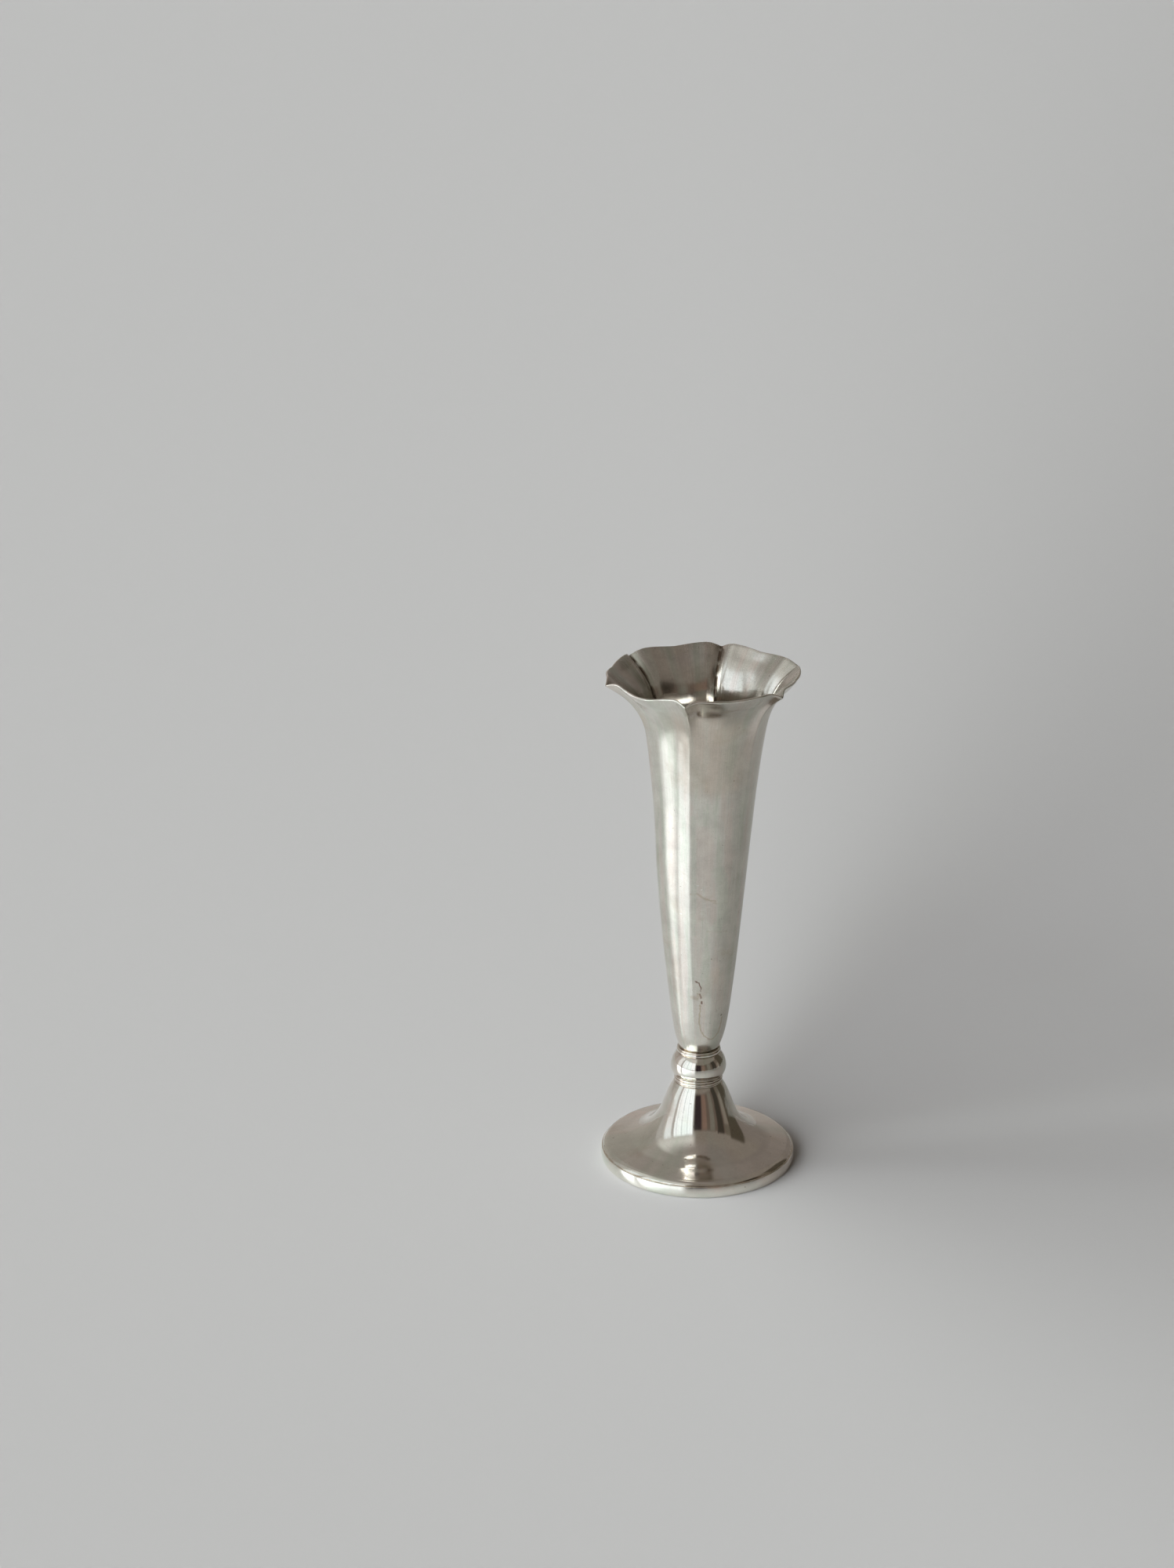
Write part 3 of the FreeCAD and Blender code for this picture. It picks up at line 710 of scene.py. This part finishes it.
def outsideSkin(lengthShares, shares, base):
    # radius and height of the outer skin, rows up the trumpet and columns over half a panel
    stations = np.array(trumpet["stations"])
    radiusShare, roundShare, lip = (
        naturalSpline(stations[:, 0], stations[:, k], lengthShares)[:, None] for k in (1, 2, 3))
    corner = trumpet["narrow"] + radiusShare * (trumpet["mouth"] - trumpet["narrow"])
    own = panelRadius(corner, roundShare, (1 - shares) * halfPanel)
    neighbour = panelRadius(corner, roundShare, (1 + shares) * halfPanel)
    low, high = trumpet["creaseTightens"]
    tight = np.clip((lip - low) / (high - low), 0, 1)
    soft = trumpet["creaseRound"] + (trumpet["lipCreaseRound"] - trumpet["creaseRound"]) * tight
    radius = own - soft * np.log1p(np.exp((own - neighbour) / soft))
    reach = trumpet["foldReach"]
    eased = np.sqrt(shares ** 2 + trumpet["creaseSoft"] ** 2) - trumpet["creaseSoft"]
    fold = np.maximum(0, 1 - eased / reach) ** 2
    dip = np.sin(np.maximum(0, shares - reach) / (1 - reach) * math.pi / 2) ** 2
    radius = radius + trumpet["foldHeight"] * lip * fold
    wave = trumpet["lipRise"] * (1 - fold) - trumpet["lobeDip"] * dip
    return radius, base + lengthShares[:, None] * trumpet["length"] + wave * lip


def halfPanelSheet(base):
    # up the outside, over the rim and down the inside, for the columns of half a panel
    dense = np.linspace(0, 1, trumpet["denseRows"])
    middle = outsideSkin(dense, np.array([0.5]), base)
    run = np.cumsum(np.hypot(np.diff(middle[0][:, 0]), np.diff(middle[1][:, 0])))
    run = np.concatenate([[0], run])
    depth, rimHalf = trumpet["sheet"], trumpet["sheet"] / 2
    rimOut = rimHalf * trumpet["rimOut"]
    lengthShares = np.interp(np.linspace(0, run[-1] - rimOut, trumpet["rows"]), run, dense)
    count = trumpet["halfPanelColumns"]
    shares = (np.arange(count + 1) / count) ** trumpet["columnPower"]
    radius, height = outsideSkin(lengthShares, shares, base)
    slopeAcross, slopeUp = np.gradient(radius, axis=0), np.gradient(height, axis=0)
    slope = np.hypot(slopeAcross, slopeUp)
    alongAcross, alongUp = slopeAcross / slope, slopeUp / slope
    innerRadius, innerHeight = radius - depth * alongUp, height + depth * alongAcross
    innerHeight[0] = height[0]
    innerRadius[0] = radius[0] - depth
    turns = np.linspace(0, math.pi, trumpet["rimRows"] + 2)[1:-1, None]
    inwards = rimHalf * (1 - np.cos(turns))
    beyond = rimOut * np.sin(turns)
    rimRadius = radius[-1] - inwards * alongUp[-1] + beyond * alongAcross[-1]
    rimHeight = height[-1] + inwards * alongAcross[-1] + beyond * alongUp[-1]
    radius = np.concatenate([radius, rimRadius, innerRadius[::-1]])
    height = np.concatenate([height, rimHeight, innerHeight[::-1]])
    return shares, radius, height


def degreesApart(turns, centre):
    return abs((np.degrees(turns) - centre + 180) % 360 - 180)


def swellAt(share):
    # 1 in the middle of a bent stretch and 0 at its ends
    return np.cos(np.minimum(share, 1) * math.pi / 2) ** 2


def moveOut(grid, turns, reach):
    grid[..., 0] += reach * np.sin(turns)
    grid[..., 1] -= reach * np.cos(turns)


def makeTrumpet(outer, inner):
    base, top = heights("trumpet_body")
    shares, radius, height = halfPanelSheet(base)
    count = trumpet["halfPanelColumns"]
    turnParts, order = [], []
    for panel in range(trumpet["panels"]):
        turnParts += [2 * panel * halfPanel + shares[:-1] * halfPanel,
                      (2 * panel + 2) * halfPanel - shares[:0:-1] * halfPanel]
        order += list(range(count)) + list(range(count, 0, -1))
    turns = np.concatenate(turnParts)
    radius, height = radius[:, order], height[:, order]
    places, twists = np.array(trumpet["twist"]).T
    near = swellAt(degreesApart(turns, 0) / trumpet["twistReach"])
    turns = turns - np.radians(np.interp(height, places, twists)) * near
    grid = np.stack([radius * np.sin(turns), -radius * np.cos(turns), height], axis=-1)
    lowFade, topFade = trumpet["waveFade"]
    fade = np.clip((height - base) / lowFade, 0, 1) * np.clip((top - height) / topFade, 0, 1)
    moveOut(grid, turns, waver(grid) * fade)
    first = trumpet["bendsFrom"]
    lipShare = np.clip(((height - base) / trumpet["length"] - first) / (1 - first), 0, 1)
    for centre, half, outwards, upwards in trumpet["lipBends"]:
        swell = lipShare ** 2 * swellAt(degreesApart(turns, centre) / half)
        moveOut(grid, turns, outwards * swell)
        grid[..., 2] += upwards * swell
    places, leans = np.array(trumpet["lean"]).T
    lean = naturalSpline(places, leans, np.clip(height, places[0], places[-1]))
    moveOut(grid, turns, lean * np.sin(turns - math.radians(camera["turn"])))
    innerRows = np.arange(len(grid)) >= trumpet["rows"] + trumpet["rimRows"]
    piece = skinObject("silverTrumpet", grid, [outer, inner], innerRows.astype(np.int32))
    dress(piece, "trumpet_body")


collars = {
    "bore": 4.0, "quirk": 0.4, "cornerCut": 0.05, "spacing": 0.16, "lowerRim": 8.1, "lowerFillet": 0.6,
    "upperRims": (7.3, 7.3), "upperRing": 1.4, "upperBead": 0.2,
    "drop": 0.9,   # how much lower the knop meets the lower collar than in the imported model
}


def ringBead(height):
    return arcOver(height / 2, collars["quirk"])


def makeCollars(material):
    spacing, cornerCut = collars["spacing"], collars["cornerCut"]
    bottom, top = heights("lower_collar")
    top -= collars["drop"]
    rim, fillet = collars["lowerRim"], collars["lowerFillet"]
    ring = (top - bottom - fillet) / 2
    lower = turned("lowerCollar", [
        (collars["bore"], top), (collars["bore"], bottom), (rim, bottom),
        (rim, bottom + fillet, ringBead(fillet), -1),
        (rim, bottom + fillet + ring, ringBead(ring), -1),
        (rim, top, ringBead(ring), -1),
    ], material, spacing, cornerCut)
    dress(lower, "lower_collar")
    bottom, top = heights("upper_collar")
    ring = collars["upperRing"]
    wide, slim = collars["upperRims"]
    slimArc = arcOver((top - bottom - ring) / 2, collars["upperBead"])
    upper = turned("upperCollar", [
        (collars["bore"], top), (collars["bore"], bottom), (wide, bottom),
        (wide, bottom + ring, ringBead(ring), -1), (slim, bottom + ring), (slim, top, slimArc, -1),
    ], material, spacing, cornerCut)
    dress(upper, "upper_collar")


knop = {
    "bore": 4.0, "seat": 7.3, "widest": 9.7, "belly": 3.2, "lowerEdge": 8.7, "undercut": 0.25,
    "lowerSeat": 8.0, "spacing": 0.25, "cornerCut": 0.14,
}


def makeKnop(material):
    bottom, top = heights("knop")
    bottom -= collars["drop"]
    belly, edge = bottom + knop["belly"], bottom + knop["undercut"]
    lowerArc = arcOver(belly - edge, knop["widest"] - knop["lowerEdge"])
    upperArc = arcOver(top - belly, knop["widest"] - knop["seat"])
    piece = turned("silverKnop", [
        (knop["bore"], top), (knop["bore"], bottom), (knop["lowerSeat"], bottom), (knop["lowerEdge"], edge),
        (knop["widest"], belly, lowerArc, -1), (knop["seat"], top, upperArc, -1),
    ], material, knop["spacing"], knop["cornerCut"])
    dress(piece, "knop")


foot = {
    "skin": 0.7, "bore": 2.1, "neck": 9.0, "neckSlope": 69.4, "shoulder": 5.0, "shoulderSeat": 8.3,
    "sweep": 19.0, "plateSlope": 13.8, "roll": 3.1, "rollTuck": 0.3, "seamRise": 0.5,
    "bandWall": 2.0, "bandSwell": 0.25, "edge": 0.2, "ledge": 0.6,
    "spacing": 0.55, "bandSpacing": 0.3, "cornerCut": 0.1,
}


def makeFoot(material, bandMaterial):
    bandLow, bandTop = heights("foot_band")
    bandTop += foot["seamRise"]
    neckTop = heights("foot_shell")[1]
    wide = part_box("foot_band")[1].x / mm - foot["bandSwell"]
    roll, skin = foot["roll"], foot["skin"]
    neckSlope, plateSlope = math.radians(foot["neckSlope"]), math.radians(foot["plateSlope"])
    rollHeight = bandTop - math.sqrt(roll ** 2 - (roll - foot["rollTuck"]) ** 2)
    edge = complex(wide - roll + roll * math.sin(plateSlope), rollHeight + roll * math.cos(plateSlope))
    rise = neckTop - edge.imag - (edge.real - foot["neck"]) * math.tan(plateSlope)
    cone = rise / (math.sin(neckSlope) - math.tan(plateSlope) * math.cos(neckSlope))
    corner = complex(foot["neck"], neckTop) + cone * cmath.exp(-1j * neckSlope)
    run = foot["sweep"] * math.tan((neckSlope - plateSlope) / 2)
    sweepTop = corner - run * cmath.exp(-1j * neckSlope)
    sweepFoot = corner + run * cmath.exp(-1j * plateSlope)
    innerTop = sweepTop - skin * complex(math.sin(neckSlope), math.cos(neckSlope))
    innerFoot = sweepFoot - skin * complex(math.sin(plateSlope), math.cos(plateSlope))
    bore = wide - foot["bandWall"]
    innerNeck = foot["neck"] + skin / math.tan(neckSlope) - skin / math.sin(neckSlope)
    shoulder = complex(foot["neck"] + foot["shoulder"] / math.tan(neckSlope), neckTop - foot["shoulder"])
    chord = shoulder - complex(foot["shoulderSeat"], neckTop)
    lean = neckSlope + cmath.phase(chord)
    shell = turned("footShell", [
        (foot["bore"], neckTop), (foot["shoulderSeat"], neckTop),
        (shoulder.real, shoulder.imag, abs(chord) / (2 * math.sin(lean)), 1), (sweepTop.real, sweepTop.imag),
        (sweepFoot.real, sweepFoot.imag, foot["sweep"], -1), (edge.real, edge.imag),
        (wide - foot["rollTuck"], bandTop, roll, 1), (bore, bandTop),
        (bore, edge.imag + (edge.real - bore) * math.tan(plateSlope) - skin / math.cos(plateSlope)),
        (innerFoot.real, innerFoot.imag), (innerTop.real, innerTop.imag, foot["sweep"] + skin, 1),
        (innerNeck, neckTop - skin), (foot["bore"], neckTop - skin),
    ], material, foot["spacing"], foot["cornerCut"])
    dress(shell, "foot_shell")
    arc = arcOver((bandTop - bandLow) / 2 - foot["edge"], foot["bandSwell"])
    plateTop = heights("base_plate")[1]
    recess = bore + foot["ledge"]
    band = turned("footBand", [
        (recess, plateTop), (recess, bandLow), (wide - foot["edge"], bandLow), (wide, bandLow + foot["edge"]),
        (wide, bandTop - foot["edge"], arc, -1), (wide - foot["edge"], bandTop), (bore, bandTop),
        (bore, plateTop),
    ], bandMaterial, foot["bandSpacing"], foot["cornerCut"])
    dress(band, "foot_band")


felt = {
    "radius": 31.95, "edge": 0.35, "spacing": 0.8, "cornerCut": 0.05,
    "middle": 0.001,   # the outline stops this far from the axis, so that the disc looks whole
    "colour": (0.030, 0.075, 0.045), "fade": (0.075, 0.115, 0.075), "wearAndGlint": (0.10, 0.12, 0.09),
    "fibreScale": 3.4, "matScale": 0.22, "napStrength": 0.6, "napDepth": 0.25,
}


def feltMaterial():
    fixed = {"Roughness": 0.95, "Sheen Weight": 0.6, "Sheen Roughness": 0.5, "Specular IOR Level": 0.2}
    material, graph = newMaterial("greenFelt", fixed)
    place = graph.place()
    fibres = graph.noise(place, felt["fibreScale"], detail=6.0, roughness=0.75, distortion=1.5)
    mats = graph.noise(place, felt["matScale"], detail=3.0, roughness=0.6)
    shade = graph.blend(graph.step(fibres, 0.35, 0.75), felt["colour"], felt["fade"])
    wearAndGlint = graph.blend(graph.step(mats, 0.5, 0.75) * 0.5, shade, felt["wearAndGlint"])
    normal = graph.bump(fibres + mats * 0.5, felt["napStrength"], felt["napDepth"])
    feed(graph, baseColour=wearAndGlint, normal=normal)
    return material


def makeFelt():
    low, high = heights("base_felt")
    reach, edge, middle = felt["radius"], felt["edge"], felt["middle"]
    piece = turned("feltPad", [
        (middle, high), (middle, low), (reach - edge, low), (reach, low + edge, edge, -1),
        (reach, high - edge), (reach - edge, high, edge, -1),
    ], feltMaterial(), felt["spacing"], felt["cornerCut"])
    dress(piece, "base_felt")


# Hidden fixings keep their solids and get a finish each.

fixings = {
    "turnedSteel": {
        "tint": (0.47, 0.46, 0.44), "other": (0.36, 0.34, 0.31), "roughness": 0.34, "metallic": 1.0,
        "scale": (0.6, 0.6, 9.0),
    },
    "sheetSteel": {
        "tint": (0.50, 0.49, 0.47), "other": (0.33, 0.27, 0.22), "roughness": 0.42, "metallic": 1.0,
        "scale": (0.4, 0.4, 0.4),
    },
    "pouredPitch": {
        "tint": (0.045, 0.032, 0.024), "other": (0.085, 0.060, 0.042), "roughness": 0.62, "metallic": 0.0,
        "scale": (0.3, 0.3, 0.3),
    },
}


def fixingMaterial(name):
    look = fixings[name]
    material, graph = newMaterial(name, {"Metallic": look["metallic"]})
    place = graph.place()
    marks = graph.noise(graph.vector("MULTIPLY", place, look["scale"]), 1.0, detail=5.0, roughness=0.65)
    spots = graph.noise(place, 0.35, detail=3.0)
    shade = graph.blend(graph.step(spots, 0.45, 0.7), look["tint"], look["other"])
    rough = look["roughness"] + (marks - 0.5) * 0.25
    normal = graph.bump(marks, strength=0.35, distance=0.05)
    feed(graph, baseColour=shade, roughness=rough, normal=normal)
    return material


def dressFixings(plugMaterial):
    steel, plate, pitch = (fixingMaterial(name) for name in ("turnedSteel", "sheetSteel", "pouredPitch"))
    finishes = {"stem_rod": steel, "rod_washer": steel, "rod_nut": steel, "base_plate": plate,
                "foot_filling": pitch, "vessel_floor": plugMaterial}
    for name, material in finishes.items():
        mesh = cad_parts[name].data
        mesh.materials.clear()
        mesh.materials.append(material)


trumpetSilver = silver("trumpetSilver", trumpetLook)
throatSilver = silver("throatSilver", throatLook)
stemSilver = silver("stemSilver", stemLook)
footSilver = silver("footSilver", footLook)
bandSilver = silver("bandSilver", bandLook)
print("silver mixed")
makeTrumpet(trumpetSilver, throatSilver)
print("trumpet raised")
makeCollars(stemSilver)
makeKnop(stemSilver)
makeFoot(footSilver, bandSilver)
print("stem and foot turned")
makeFelt()
dressFixings(throatSilver)
print("felt and fixings dressed")

bpy.context.scene.view_settings.view_transform = "Standard"
